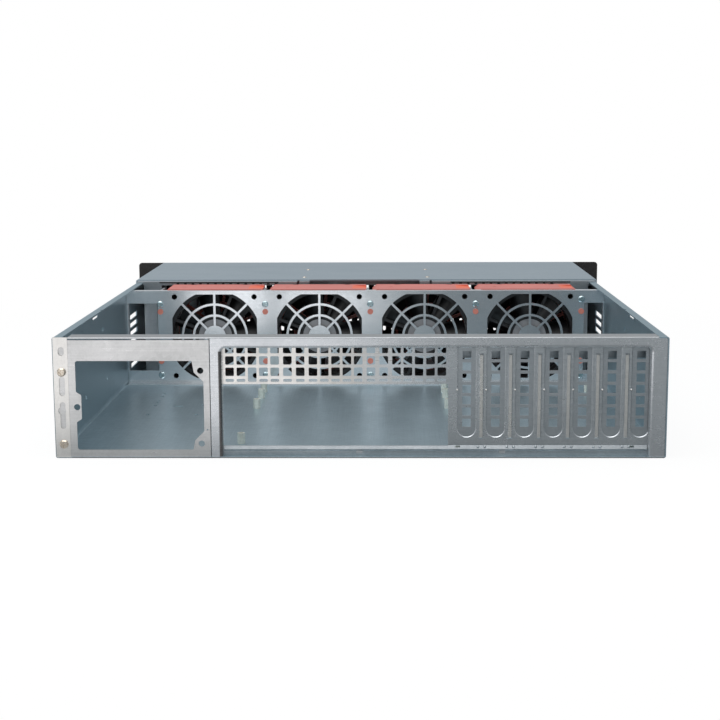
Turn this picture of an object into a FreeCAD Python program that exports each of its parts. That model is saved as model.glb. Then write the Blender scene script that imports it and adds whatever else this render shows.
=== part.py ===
"""Empty 2U rackmount server case with its rear lid removed: folded steel tray, rear frame with
I/O aperture and seven slot covers, power-supply plate, fan wall with four 80 mm fans in plastic
carriers, fixed front cover and rack panel.

Frame: +X to the right and +Y towards the rack panel as seen from the rear, +Z up, in mm.
The origin is the middle of the footprint, on the underside of the floor."""

import FreeCAD, Part
import math
import os

V = FreeCAD.Vector

# ---------------------------------------------------------------- overall case
body_width = 430.0          # across the outside of the side walls
tray_depth = 524.0          # rear face to the back of the rack panel
wall_height = 86.1          # underside of the floor to the top of the side lips
sheet = 1.0                 # folded galvanised steel
bend_radius = 0.6           # inside radius of the long folds
lip_width = 7.0             # inward lip along the top of each side wall
seam = 0.2                  # gap beside a plate that drops in between two others
frame_seam = 0.6            # gap between the power-supply plate and the rear frame
fold_relief = 0.8           # corner cut away where a plate meets the inside of a fold
fold_round = 0.9            # outside radius of the short folds at the rear

# ---------------------------------------------------------------- rear face
corner_flange = 10.9        # side wall turned inward at the power-supply corner
psu_plate_width = 99.0
frame_post = 5.6            # flat beside the rear window, power-supply side
frame_end_post = 8.8        # the same at the far end
frame_top_band = 4.5        # plate left above the window
frame_flange = 15.0         # top flange of the rear frame, turned inward
window_corner = 3.2         # inside radius of the window's upper corners
window_roll = 5.0           # depth of the rolled window edge behind the plate
roll_radius = 1.2           # inside radius of that roll

# ---------------------------------------------------------------- I/O aperture and vent grid
io_width = 158.75
io_height = 44.45
io_inset = 0.1              # rolled window edge to the I/O aperture
io_sill = 6.6               # floor surface to the aperture
vent_hole_width = 6.1
vent_hole_height = 6.1
vent_pitch = 7.95
vent_row_pitch = 8.05
vent_group_gap = 1.0        # extra web after the columns listed in vent_group_ends
vent_group_ends = (5, 6, 7, 12, 13, 14)
vent_columns = 19
vent_rows = 3
vent_corner = 0.9
vent_first_web = 2.0        # I/O aperture edge to the first column
vent_slot_height = 2.2
vent_slot_web = 1.4         # I/O aperture to the row of short slots
vent_slot_gap = 2.0         # short slots to the square holes
keyed_column = 3            # this column's lowest hole runs down into its short slot

# ---------------------------------------------------------------- expansion slots
slot_count = 7
slot_pitch = 20.32
slot_from_io = 13.0         # I/O aperture edge to the first slot's centre line
slot_opening_width = 12.6
slot_opening_bottom = 14.0
slot_top_margin = 4.6       # frame top flange to the top of the slot openings
slot_roundness = 0.98       # the openings' lower corners, as a share of half their width
slot_chamfer = 0.5          # broken edge round the slot openings
rib_width = 3.5
rib_crest = 1.9
rib_height = 1.2
rib_bottom = 12.8
rib_end_slope = 1.0
rib_top_drop = 11.6         # frame top flange to the ribs' upper end
dimple_radius = 1.0
dimple_at = 7.0             # height of the locating dimples on the bead
dimple_spread = 4.8
dimple_shift = 0.4          # middle of each pair from the rib above it
nib_radius = 0.9
nib_at = 47.8
bead_span = (4.0, 8.0)      # bead pressed along the foot of the I/O panel
bead_crest = (5.1, 5.5)
bead_height = 1.3
bead_end_gap = 0.4
bead_slots = (69.0, 191.5)  # short slots through the bead
bead_slot_width = 3.6
bead_slot_height = 1.4
foot_slot_width = 4.4       # small slots under the bead
foot_slot_height = 2.0
foot_slot_at = 2.1
foot_slot_places = (-0.4, 100.5)
cover_width = 18.6
cover_sheet = 0.8
cover_ear = 11.4
cover_hole_width = 6.1
cover_hole_height = 5.9
cover_hole_pitch = 8.06
cover_hole_rows = 7
cover_first_hole = 20.95    # lower edge of the lowest hole, from the underside of the floor
cover_corner = 1.0
cover_tongue_width = 10.2
cover_tongue_length = 6.0
cover_bottom = 9.4
cover_top_drop = 6.8        # frame top flange to the top of the covers' ears
rail_height = 9.0
rail_depth = 11.0
rail_gap = 0.4              # covers to the rail
rail_overhang = 2.2         # rail beyond the first cover
panel_foot = 8.0            # I/O panel turned inward on the floor

# ---------------------------------------------------------------- power-supply plate
psu_left_margin = 4.9
psu_right_margin = 4.3
psu_top_margin = 15.6
psu_bottom_margin = 5.0
psu_tab_width = 3.6
psu_tab_height = 19.2
psu_tab_bottom = 27.0
psu_gusset_width = 6.6
psu_gusset_lean = 1.4
psu_upper_gusset_drop = 8.2
psu_gusset_slope = 6.6
psu_lower_gusset_rise = 6.8
psu_hole_radius = 2.25
psu_upper_hole = (2.1, 1.2) # from the upper gusset's corner: inward, up
psu_lower_hole = (2.1, 2.4)
psu_tab_hole = 0.6          # tab hole from the opening's edge
psu_pin_radius = 0.6
psu_pin_at = (2.1, 20.4)    # from the plate's edge, and height
psu_corner = 1.6
psu_soft_corner = 0.8
psu_tab_lean = 1.1
psu_fold = 12.0             # side of the plate turned inward beside the rear frame
psu_top_gap = 0.9           # dark line between the plate and the frame's flange

# ---------------------------------------------------------------- side walls and floor
hook_slot_length = 22.0
hook_slot_height = 2.0
hook_slot_drop = 6.3
hook_slot_at = 151.0        # from the rear face
side_holes = ((104.7, 23.8), (180.0, 66.0), (191.0, 23.8))   # from the rear face, height
lip_notch_at = 147.0
lip_notch_length = 3.0
lip_notch_depth = 1.6
side_vent_length = 36.0
side_vent_height = 4.4
side_vent_pitch = 7.35
side_vent_rows = 7
side_vent_from_wall = 17.0  # fan wall to the near end of the vents
side_vent_bottom = 12.0
floor_hole_radius = 1.7
bay_hole_inset = 41.2       # outer face of the side wall to the first row of bay holes
bay_hole_spacing = 39.3
bay_first_hole = 149.0
bay_hole_steps = (0.0, 39.0, 49.5, 57.5, 77.5, 91.5)
bay_slot_length = 8.0
bay_slot_gap = 2.5          # slot to the line through the second pair of holes
flange_middle = 0.58        # share of the corner flange where its holes line up
oval_half = 2.1
oval_span = (73.2, 79.4)
slot_half = 2.1
slot_span = (44.6, 58.2)
keyhole_half = 1.9
keyhole_span = (21.0, 40.2)
keyhole_head = 2.8
keyhole_head_at = (-0.5, 34.0)
psu_screw_heights = (61.6, 10.1)

# ---------------------------------------------------------------- board standoffs
standoff_height = 8.0
standoff_flats = 5.0
standoff_bore = 1.25
standoff_web = 3.0          # solid foot under the post's bore
board_to_io_panel = 3.0     # board edge behind the inside of the I/O panel
board_beside_io = 2.4       # I/O aperture edge to the board's edge
board_hole_from_edge = 6.35
board_columns = (0.0, 157.48, 281.94)
board_first_row_edge = 33.02
board_first_row = 10.16
board_rows = (165.1, 209.55, 237.49)

# ---------------------------------------------------------------- fan wall
wall_at = 289.5             # rear face of the case to the fan wall
wall_flange = 7.0
wall_foot = 11.0
arm_top = 11.2              # depth of the wall above its end openings
arm_bottom = 12.9           # height of the wall below them
left_end_web = 12.7
right_end_web = 10.0
fan_count = 4
fan_size = 80.0
fan_pitch = 94.13
fan_row_offset = 6.4        # middle of the fan row from the case's middle
fan_height = 44.0
fan_hole_pitch = 71.5
fan_hole_radius = 2.4
guard_square = 76.0
guard_circle = 41.4
guard_ring_outer = 28.9     # mean radius of the outer ring
guard_ring_inner = 19.0
guard_bar = 2.0             # width of rings and spokes
guard_hub = 9.9
guard_spokes = 8
web_fixing_offset = 48.55   # from a fan's axis back to the fixings beside it
web_screw_high = 29.2       # above and below the fan axis
web_screw_low = 35.2
web_peg_offset = 22.4
end_screw_rise = 4.1        # the last upper screw sits higher
peg_radius = 1.9
peg_head = 2.5
peg_height = 1.1

# ---------------------------------------------------------------- fans
fan_depth = 38.0
fan_gap = 3.0               # fan wall to the fan
fan_flange = 4.2
fan_duct_radius = 38.1
fan_duct_wall = 1.3
fan_corner = 4.0
fan_bolt_radius = 2.15
fan_motor_radius = 16.8
fan_motor_plate = 3.0
fan_strut_width = 2.4
fan_strut_count = 4
fan_strut_turn = 22.5       # struts between the guard's spokes
stator_radius = 13.0
stator_length = 17.0
shaft_radius = 1.5
shaft_play = 0.05
rotor_gap = 1.6             # motor plate to the rotor
rotor_cup_radius = 17.4
rotor_cup_wall = 1.3
rotor_cup_round = 2.0
rotor_length = 29.0
bore_floor = 1.0            # motor plate left below the shaft's bore
shaft_end = 1.6             # outside of the motor plate to the shaft's end
blade_count = 7
blade_tip_gap = 0.8
blade_thickness = 1.3
blade_root_chord = 22.0
blade_tip_chord = 25.0
blade_root_angle = 46.0
blade_tip_angle = 60.0
blade_bow = 3.0
blade_sink = 2.2            # root of each blade inside the cup's wall

# ---------------------------------------------------------------- fan carriers and guides
carrier_left = 47.0         # fan axis to the carrier's left side
carrier_right = 41.7
carrier_depth = 46.0
carrier_play = 0.3          # carrier to the guides' flanges
carrier_top_above_lip = 0.5 # carrier top above the fan wall's flange
carrier_shoulder = 4.0      # left shoulder, cut at a slope
carrier_shoulder_drop = 3.0
carrier_corner = 1.2
carrier_notch_width = 5.0
carrier_notch_depth = 2.5
carrier_notch_spread = 24.0
carrier_mark_at = (-29.8, 24.3)     # short slot in the top: from the fan axis, from the front
carrier_mark_length = 3.2
carrier_mark_width = 1.4
carrier_mark_depth = 1.0
grip_length = 12.6          # finger scoop at the right end of the carrier's top
grip_depth = 0.9
grip_from = 12.5            # front of the carrier to the scoop's near and far edges
grip_to = 37.5
fan_slip = 0.1              # fan in its carrier
flange_slip = 0.5           # carrier under the fan wall's flange
grille_thickness = 2.6
grille_rings = (35.0, 24.5, 14.0)
grille_bar = 2.6
grille_bars = 12
grille_turn = 7.5
guide_flange = 5.8
guide_reach = 42.0
guide_tab = 2.0
guide_web_offset = 3.0      # from the fixings back to the guide's web

# ---------------------------------------------------------------- fixed front cover, bulkhead
cover_at = 356.0            # rear face of the case to the cover's rear edge
cover_side = 10.0           # cover turned down outside the side walls
cover_side_gap = 0.1
bulkhead_at = 371.0
ledge_at = 346.5            # rear edge of the ledge that the lid rests on
ledge_left_gap = 64.0       # inner ends of the two ledges from the middle
ledge_right_gap = 61.9
ledge_lip = 3.2             # ledge turned down at its rear edge
ledge_under_cover = 3.0     # ledge beyond the cover's rear edge
ledge_leg_gap = 7.0         # side wall to the leg under each ledge
ledge_leg = 16.5
ledge_leg_foot = 8.0
seal_thickness = 0.6        # toothed lid seal on the ledges' rear edges
seal_band = 1.1
seal_tooth = 2.4
seal_tooth_length = 1.5
seal_pitch = 7.05
seal_teeth = 14
seal_end = 1.2              # first tooth from the seal's inner end
seal_inset = 17.2           # inner end of a ledge to its seal
seal_length = 111.2
tongue_width = 9.5          # lid tongue beside the inner end of each ledge
tongue_gap = 2.0
tongue_drop = 2.0
bulkhead_end_gap = 9.0      # bulkhead to the side wall
bulkhead_column = 15.0
bulkhead_sill = 9.0
bulkhead_head = 4.0
bulkhead_corner = 2.0
brace_width = 16.0
brace_depth = 3.0
brace_at = 58.5
brace_front_gap = 4.0
rivet_radius = 2.2
rivet_height = 0.5
rivet_first = 376.0
rivet_second = 447.0

# ---------------------------------------------------------------- rack panel and controls
panel_width = 482.6
panel_height = 87.6
panel_sheet = 2.0
panel_corner = 3.0
panel_base = 0.3
panel_return = 14.0
rack_hole_spacing = 465.1
rack_hole_pitch = 44.45
rack_slot_width = 10.3
rack_slot_height = 6.8
front_slot_width = 3.0
front_slot_height = 13.0
front_slot_pitch = 9.0
front_slot_columns = 36
front_slot_rows = 2
front_slot_row_gap = 31.0
front_slots_shift = -14.0
control_from_wall = 24.0    # inner face of the side wall to the buttons and lamps
power_radius = 6.0
power_height = 58.0
reset_radius = 2.4
reset_height = 40.0
button_travel = 1.2
button_pressed = 0.6        # cap left proud of the panel when pressed
button_proud = button_travel + button_pressed
button_gap = 0.35
button_flange = 1.4
button_collar = 1.5
button_stem = 12.0
button_stem_radius = 1.2
lamp_radius = 1.6
lamp_heights = (29.0, 21.5, 14.0)
bracket_depth = 12.0
bracket_width = 22.0
bracket_bottom = 6.0
bracket_top = 72.0
bracket_foot = 6.0

# ---------------------------------------------------------------- screws
screw_head_radius = 3.1
screw_head_height = 1.8
screw_head_rim = 0.7        # height of the head's straight rim
screw_head_crown = 0.72     # top of the head, as a share of its radius
screw_radius = 1.5
screw_slip = 0.1
screw_length = 5.0
cover_screw_length = 3.5
recess_width = 0.9
recess_depth = 0.9
recess_reach = 0.8          # arm of the cross, as a share of the crown
small_screw_head = 2.9
side_screw_head = 2.9
side_screw_sink = 1.4
side_screw_heights = (18.0, 43.0, 68.0)

# ---------------------------------------------------------------- places worked out from these
total_depth = screw_head_height + tray_depth + panel_sheet + button_proud
rear = -total_depth / 2 + screw_head_height
front = rear + tray_depth
half_width = body_width / 2
inner_half = half_width - sheet
lip_top = wall_height
lip_under = wall_height - sheet
cover_under = wall_height + sheet
cover_top = cover_under + sheet
control_x = -inner_half + control_from_wall
recess = sheet + window_roll
roll_width = roll_radius + sheet    # how far the roll stands into the window

plate_left = -half_width + corner_flange + seam / 2
plate_right = plate_left + psu_plate_width
frame_left = plate_right + frame_seam
frame_right = inner_half - seam
window_left = frame_left + frame_post
window_right = frame_right - frame_end_post
window_top = lip_under - frame_top_band
io_left = window_left + roll_width + io_inset
io_right = io_left + io_width
io_bottom = sheet + io_sill
io_top = io_bottom + io_height
first_slot = io_right + slot_from_io
panel_at = rear + recess
panel_back = panel_at + sheet
slot_opening_top = lip_under - slot_top_margin
ear_top = lip_under - cover_top_drop

wall_front = rear + wall_at
wall_back = wall_front + sheet
fan_centres = [fan_row_offset + fan_pitch * (i - (fan_count - 1) / 2) for i in range(fan_count)]
web_fixings = [fan_centres[0] - web_fixing_offset + fan_pitch * i for i in range(fan_count + 1)]
fan_rear = wall_back + fan_gap
guide_back = wall_back + sheet
carrier_rear = guide_back + carrier_play
carrier_top = lip_under + carrier_top_above_lip
carrier_bottom = sheet
bulkhead = rear + bulkhead_at


# ---------------------------------------------------------------- shapes used everywhere
def box(x0, x1, y0, y1, z0, z1):
    return Part.makeBox(x1 - x0, y1 - y0, z1 - z0, V(x0, y0, z0))


def span_box(a, b, *rest):
    """Box between two places across the case, whichever comes first."""
    return box(min(a, b), max(a, b), *rest)


def closed_wire(points):
    return Part.makePolygon([V(*p) for p in points] + [V(*points[0])])


def rounded_outline(corners, y):
    """Closed outline in the plane of a rear panel. Each corner is (x, z, radius)."""
    count = len(corners)
    starts = []
    arcs = []
    for i, (x, z, radius) in enumerate(corners):
        here = V(x, y, z)
        before = V(corners[i - 1][0], y, corners[i - 1][1]) - here
        after = V(corners[(i + 1) % count][0], y, corners[(i + 1) % count][1]) - here
        before.normalize()
        after.normalize()
        if radius <= 0:
            starts.append((here, here))
            arcs.append(None)
            continue
        half = before.getAngle(after) / 2
        reach = radius / math.tan(half)
        bisector = before + after
        bisector.normalize()
        centre = here + bisector * (radius / math.sin(half))
        middle = centre - bisector * radius
        first = here + before * reach
        last = here + after * reach
        starts.append((first, last))
        arcs.append(Part.Arc(first, middle, last).toShape())
    edges = []
    for i in range(count):
        if arcs[i]:
            edges.append(arcs[i])
        leave = starts[i][1]
        arrive = starts[(i + 1) % count][0]
        if leave.distanceToPoint(arrive) > 1e-6:
            edges.append(Part.LineSegment(leave, arrive).toShape())
    return Part.Wire(edges)


def rectangle(x0, x1, z0, z1, radius, y):
    return rounded_outline([(x0, z0, radius), (x1, z0, radius), (x1, z1, radius), (x0, z1, radius)], y)


def upright_outline(x0, x1, z1, y, z0=sheet):
    """Plate standing on the floor, its corners clear of the tray's long folds."""
    return rectangle(x0, x1, z0, z1, fold_relief, y)


def disc(x, z, radius, y):
    return Part.Wire(Part.makeCircle(radius, V(x, y, z), V(0, 1, 0)))


def stadium(x0, x1, z0, z1, y):
    """Slot with round ends, along its longer side."""
    radius = min(x1 - x0, z1 - z0) / 2
    if x1 - x0 > z1 - z0:
        mid = (z0 + z1) / 2
        ends = [V(x0 + radius, y, z0), V(x1 - radius, y, z0), V(x1 - radius, y, z1), V(x0 + radius, y, z1)]
        right = Part.Arc(ends[1], V(x1, y, mid), ends[2]).toShape()
        left = Part.Arc(ends[3], V(x0, y, mid), ends[0]).toShape()
    else:
        mid = (x0 + x1) / 2
        ends = [V(x1, y, z0 + radius), V(x1, y, z1 - radius), V(x0, y, z1 - radius), V(x0, y, z0 + radius)]
        right = Part.Arc(ends[1], V(mid, y, z1), ends[2]).toShape()
        left = Part.Arc(ends[3], V(mid, y, z0), ends[0]).toShape()
    sides = [Part.LineSegment(ends[0], ends[1]).toShape(), Part.LineSegment(ends[2], ends[3]).toShape()]
    return Part.Wire([sides[0], right, sides[1], left])


def tapered(near, far):
    """Solid between two outlines of the same kind in parallel planes."""
    return Part.makeLoft([near, far], True, True)


def panel(outline, holes, thickness):
    """Flat sheet parallel to the rear face, from its outline and the outlines of its holes."""
    face = Part.makeFace([outline] + holes, "Part::FaceMakerBullseye")
    return face.extrude(V(0, thickness, 0))


def prism(outline, thickness):
    return Part.Face(outline).extrude(V(0, thickness, 0))


def cut_all(shape, tools):
    return shape.cut(Part.makeCompound(tools)) if tools else shape


def join(shapes):
    whole = shapes[0].fuse(shapes[1:]) if len(shapes) > 1 else shapes[0]
    return whole.removeSplitter()


def folded_sheet(path, plane, start, length, thickness=sheet, radius=bend_radius):
    """Sheet folded along the middle line `path`, a list of 2-D points, extruded along one axis.
    plane "xz" runs along +Y from `start`, plane "yz" runs along +X, plane "xy" runs along +Z."""
    to_space = {
        "xz": lambda a, b: V(a, start, b),
        "yz": lambda a, b: V(start, a, b),
        "xy": lambda a, b: V(a, b, start),
    }[plane]
    along = {"xz": V(0, length, 0), "yz": V(length, 0, 0), "xy": V(0, 0, length)}[plane]
    half = thickness / 2
    bend = radius + half
    points = [FreeCAD.Vector(a, b, 0) for a, b in path]
    sides = {1: [], -1: []}
    cursor = points[0]
    for i in range(1, len(points)):
        direction = points[i] - points[i - 1]
        direction.normalize()
        normal = V(-direction.y, direction.x, 0)
        if i == len(points) - 1:
            for side in sides:
                offset = normal * (half * side)
                sides[side].append(("line", cursor + offset, points[i] + offset))
            break
        onward = points[i + 1] - points[i]
        onward.normalize()
        turn = direction.getAngle(onward)
        reach = bend * math.tan(turn / 2)
        stop = points[i] - direction * reach
        resume = points[i] + onward * reach
        hand = 1 if direction.cross(onward).z > 0 else -1
        centre = stop + normal * (bend * hand)
        outward = points[i] - centre
        outward.normalize()
        next_normal = V(-onward.y, onward.x, 0)
        for side in sides:
            arc_radius = bend - half * side * hand
            offset = normal * (half * side)
            sides[side].append(("line", cursor + offset, stop + offset))
            last = resume + next_normal * (half * side)
            sides[side].append(("arc", stop + offset, centre + outward * arc_radius, last))
        cursor = resume
    edges = []

    def add(kind, *ends):
        spots = [to_space(p.x, p.y) for p in ends]
        if kind == "arc":
            edges.append(Part.Arc(*spots).toShape())
        else:
            edges.append(Part.LineSegment(*spots).toShape())

    for piece in sides[1]:
        add(*piece)
    add("line", sides[1][-1][-1], sides[-1][-1][-1])
    for kind, *ends in reversed(sides[-1]):
        add(kind, *reversed(ends))
    add("line", sides[-1][0][1], sides[1][0][1])
    return Part.Face(Part.Wire(Part.__sortEdges__(edges))).extrude(along)


def pan_screw(head_at, axis, head_radius=screw_head_radius, length=screw_length):
    """Pan-head screw with a cross recess: head seated at head_at, shank along axis."""
    crown = head_radius * screw_head_crown
    top = screw_head_height
    profile = closed_wire([
        (0, 0, -length), (screw_radius, 0, -length), (screw_radius, 0, 0), (head_radius, 0, 0),
        (head_radius, 0, screw_head_rim), (crown, 0, top), (0, 0, top)])
    body = Part.Face(profile).revolve(V(0, 0, 0), V(0, 0, 1), 360)
    arm = crown * recess_reach
    half = recess_width / 2
    cross = box(-arm, arm, -half, half, top - recess_depth, top + 1)
    cross = cross.fuse(box(-half, half, -arm, arm, top - recess_depth, top + 1))
    body = body.cut(cross)
    body.Placement = FreeCAD.Placement(V(*head_at), FreeCAD.Rotation(V(0, 0, -1), V(*axis)))
    return body


# ---------------------------------------------------------------- tray: floor and side walls
def base_tray():
    middle = sheet / 2
    section = [
        (-half_width + lip_width, wall_height - middle),
        (-half_width + middle, wall_height - middle),
        (-half_width + middle, middle),
        (half_width - middle, middle),
        (half_width - middle, wall_height - middle),
        (half_width - lip_width, wall_height - middle),
    ]
    tray = folded_sheet(section, "xz", rear, tray_depth)
    flange = box(-half_width + middle, -half_width + corner_flange, rear, rear + sheet, middle, wall_height)
    tray = join([tray, flange])
    return cut_all(tray, side_wall_cuts() + floor_cuts() + corner_flange_cuts())


def side_wall_cuts():
    """Lid hook slots, lip notches, small fixing holes and vent slots, through both side walls."""
    cuts = []
    hook_z = wall_height - hook_slot_drop
    reach = half_width + 1
    hook = rear + hook_slot_at
    cuts.append(box(-reach, reach, hook - hook_slot_length / 2, hook + hook_slot_length / 2,
                    hook_z - hook_slot_height / 2, hook_z + hook_slot_height / 2))
    notch = rear + lip_notch_at
    inner = half_width - lip_width + lip_notch_depth
    cuts.append(box(-inner, inner, notch, notch + lip_notch_length, lip_under - sheet, lip_top + sheet))
    for along, height in side_holes:
        place = V(-reach, rear + along, height)
        cuts.append(Part.makeCylinder(floor_hole_radius, 2 * reach, place, V(1, 0, 0)))
    near = wall_back + side_vent_from_wall
    for row in range(side_vent_rows):
        low = side_vent_bottom + row * side_vent_pitch
        cuts.append(box(-reach, reach, near, near + side_vent_length, low, low + side_vent_height))
    cuts += [side_screw(place, axis) for place, axis in rack_screw_places()]
    return cuts


def floor_cuts():
    """Fixing holes of the power-supply bay."""
    cuts = []
    first = rear + bay_first_hole
    near_row = -half_width + bay_hole_inset
    far_row = near_row + bay_hole_spacing
    places = [(near_row, first + step) for step in bay_hole_steps]
    places += [(far_row, first + step) for step in bay_hole_steps[:2]]
    for x, y in places:
        cuts.append(Part.makeCylinder(floor_hole_radius, 3 * sheet, V(x, y, -sheet)))
    middle = (near_row + far_row) / 2
    slot_end = first + bay_hole_steps[1] - bay_slot_gap
    cuts.append(box(middle - bay_slot_length / 2, middle + bay_slot_length / 2,
                    slot_end - 2 * floor_hole_radius, slot_end, -sheet, 2 * sheet))
    return cuts


def corner_flange_cuts():
    """Oval hole, slot and keyhole of the turned-in corner, over the plate's hidden tab, and its
    rounded outer fold."""
    middle = -half_width + corner_flange * flange_middle
    through = 3 * sheet
    start = rear - sheet
    slots = ((oval_half, oval_span), (slot_half, slot_span), (keyhole_half, keyhole_span))
    wires = [stadium(middle - half, middle + half, low, high, start) for half, (low, high) in slots]
    wires.append(disc(middle + keyhole_head_at[0], keyhole_head_at[1], keyhole_head, start))
    cuts = [prism(wire, through) for wire in wires]
    for place, axis in psu_screw_places():
        cuts.append(Part.makeCylinder(screw_radius, through, V(place[0], start, place[2]), V(*axis)))
    edge = -half_width + fold_round
    corner = box(-half_width - sheet, edge, rear - sheet, rear + fold_round, -sheet, lip_top + sheet)
    inside = Part.makeCylinder(fold_round, lip_top + 3 * sheet, V(edge, rear + fold_round, -sheet))
    cuts.append(corner.cut(inside))
    return cuts


def psu_screw_places():
    middle = -half_width + corner_flange * flange_middle
    return [((middle, rear, height), (0, 1, 0)) for height in psu_screw_heights]


# ---------------------------------------------------------------- rear frame
def roll_section(edge, inward):
    """Section of the rolled window edge: a quarter turn, then straight back. `inward` points into
    the window from the edge of the flat at edge."""
    def spot(across, back):
        return edge + inward * across + V(0, back, 0)

    lean = math.sqrt(0.5)
    halfway = spot(roll_width * lean, roll_width * (1 - lean))
    outer = Part.Arc(spot(0, 0), halfway, spot(roll_width, roll_width))
    halfway = spot(roll_radius * lean, roll_width - roll_radius * lean)
    inner = Part.Arc(spot(roll_radius, roll_width), halfway, spot(0, sheet))
    edges = [outer.toShape(),
             Part.LineSegment(spot(roll_width, roll_width), spot(roll_width, recess)).toShape(),
             Part.LineSegment(spot(roll_width, recess), spot(roll_radius, recess)).toShape(),
             Part.LineSegment(spot(roll_radius, recess), spot(roll_radius, roll_width)).toShape(),
             inner.toShape(),
             Part.LineSegment(spot(0, sheet), spot(0, 0)).toShape()]
    return Part.Face(Part.Wire(edges))


def rear_frame():
    """Two posts and a top band round the open window, their inner edges rolled inward."""
    corner = window_corner + roll_width
    outline = rounded_outline([
        (frame_left, sheet, 0), (window_left, sheet, 0),
        (window_left, window_top, corner), (window_right, window_top, corner),
        (window_right, sheet, 0), (frame_right, sheet, fold_relief),
        (frame_right, lip_under, fold_relief), (frame_left, lip_under, 0)], rear)
    plate = panel(outline, [], sheet)
    spring = window_top - corner
    left_turn = V(window_left + corner, rear, spring)
    right_turn = V(window_right - corner, rear, spring)
    pieces = [plate]
    for x, inward in ((window_left, V(1, 0, 0)), (window_right, V(-1, 0, 0))):
        pieces.append(roll_section(V(x, rear, sheet), inward).extrude(V(0, 0, spring - sheet)))
    pieces.append(roll_section(V(left_turn.x, rear, window_top), V(0, 0, -1)).extrude(right_turn - left_turn))
    for turn, x, inward, angle in ((left_turn, window_left, V(1, 0, 0), 90),
                                   (right_turn, window_right, V(-1, 0, 0), -90)):
        start = roll_section(V(x, rear, spring), inward)
        pieces.append(start.revolve(turn, V(0, 1, 0), angle))
    flange_end = half_width - lip_width - seam
    pieces.append(box(plate_left, flange_end, rear, rear + frame_flange, lip_under, lip_top))
    frame = join(pieces)
    on_face = [edge for edge in frame.Edges if edge.BoundBox.YMax < rear + 1e-6]
    return frame.makeFillet(fold_round, [edge for edge in on_face if edge.BoundBox.ZMin > lip_top - 1e-6])


# ---------------------------------------------------------------- recessed I/O and slot panel
def slot_centres():
    return [first_slot + slot_pitch * i for i in range(slot_count)]


def vent_holes(y):
    holes = []
    slot_low = io_top + vent_slot_web
    slot_high = slot_low + vent_slot_height
    grid_low = slot_high + vent_slot_gap
    for column in range(1, vent_columns + 1):
        shift = vent_group_gap * sum(1 for end in vent_group_ends if column > end)
        x0 = io_left + vent_first_web + vent_pitch * (column - 1) + shift
        x1 = x0 + vent_hole_width
        for row in range(vent_rows):
            low = grid_low + vent_row_pitch * row
            if row == 0 and column == keyed_column:
                low = slot_low
            high = grid_low + vent_row_pitch * row + vent_hole_height
            holes.append(rectangle(x0, x1, low, high, vent_corner, y))
        if column != keyed_column:
            holes.append(rectangle(x0, x1, slot_low, slot_high, vent_corner, y))
    return holes


def slot_outline(x, y, margin=0):
    """Opening behind one expansion slot, open-ended under the frame's top band."""
    half = slot_opening_width / 2 + margin
    low = slot_opening_bottom - margin
    high = slot_opening_top + margin
    turn = half * slot_roundness
    return rounded_outline([(x - half, low, turn), (x + half, low, turn),
                            (x + half, high, 0), (x - half, high, 0)], y)


def foot_bead():
    """Bead along the foot of the I/O panel."""
    low, high = bead_span
    crest = panel_at - bead_height
    left = window_left + roll_width + bead_end_gap
    right = window_right - roll_width - bead_end_gap
    section = Part.Face(closed_wire([(left, panel_at, low), (left, crest, bead_crest[0]),
                                     (left, crest, bead_crest[1]), (left, panel_at, high)]))
    return section.extrude(V(right - left, 0, 0))


def bead_cuts():
    """Where the I/O aperture interrupts the bead, and the short slots through it."""
    near = panel_at - bead_height - sheet
    half = bead_slot_width / 2
    low = dimple_at - bead_slot_height / 2
    cuts = [box(io_left, io_right, near, panel_back, io_bottom, io_top)]
    cuts += [box(x - half, x + half, near, panel_back, low, low + bead_slot_height) for x in bead_slots]
    return cuts


def io_slot_panel():
    """Panel set back behind the window: I/O aperture, vent grid, slot openings, pressed bead and ribs."""
    outline = upright_outline(frame_left, frame_right, lip_under, panel_at)
    holes = [rectangle(io_left, io_right, io_bottom, io_top, 0, panel_at)]
    holes += vent_holes(panel_at)
    holes += [slot_outline(x, panel_at) for x in slot_centres()]
    half = foot_slot_width / 2
    high = foot_slot_at + foot_slot_height
    holes += [rectangle(x - half, x + half, foot_slot_at, high, 0, panel_at) for x in foot_slot_places]
    flat = panel(outline, holes, sheet)
    chamfers = [tapered(slot_outline(x, panel_at, slot_chamfer), slot_outline(x, panel_at + slot_chamfer))
                for x in slot_centres()]
    flat = cut_all(flat, chamfers)
    foot = box(frame_left, frame_right - fold_relief, panel_at, panel_back + panel_foot, sheet, 2 * sheet)
    pressed = [flat, foot, foot_bead()]
    rib_top = lip_under - rib_top_drop
    for x in slot_centres()[:-1]:
        middle = x + slot_pitch / 2
        pressed.append(pressed_rib(middle, rib_bottom, rib_top))
        for side in (-1, 1):
            spot = V(middle + dimple_shift + side * dimple_spread / 2, panel_at - bead_height / 2, dimple_at)
            pressed.append(Part.makeSphere(dimple_radius, spot))
    for x in slot_centres():
        spot = V(x - slot_opening_width / 2 - nib_radius / 2, panel_at - nib_radius / 3, nib_at)
        pressed.append(Part.makeSphere(nib_radius, spot))
    return cut_all(join(pressed), bead_cuts())


def pressed_rib(x, low, high):
    """Rib pressed outward from the web between two slots: flat crest, sloping sides and ends."""
    base = rectangle(x - rib_width / 2, x + rib_width / 2, low, high, 0, panel_at)
    crest = rectangle(x - rib_crest / 2, x + rib_crest / 2, low + rib_end_slope, high - rib_end_slope, 0,
                      panel_at - rib_height)
    return tapered(base, crest)


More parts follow.
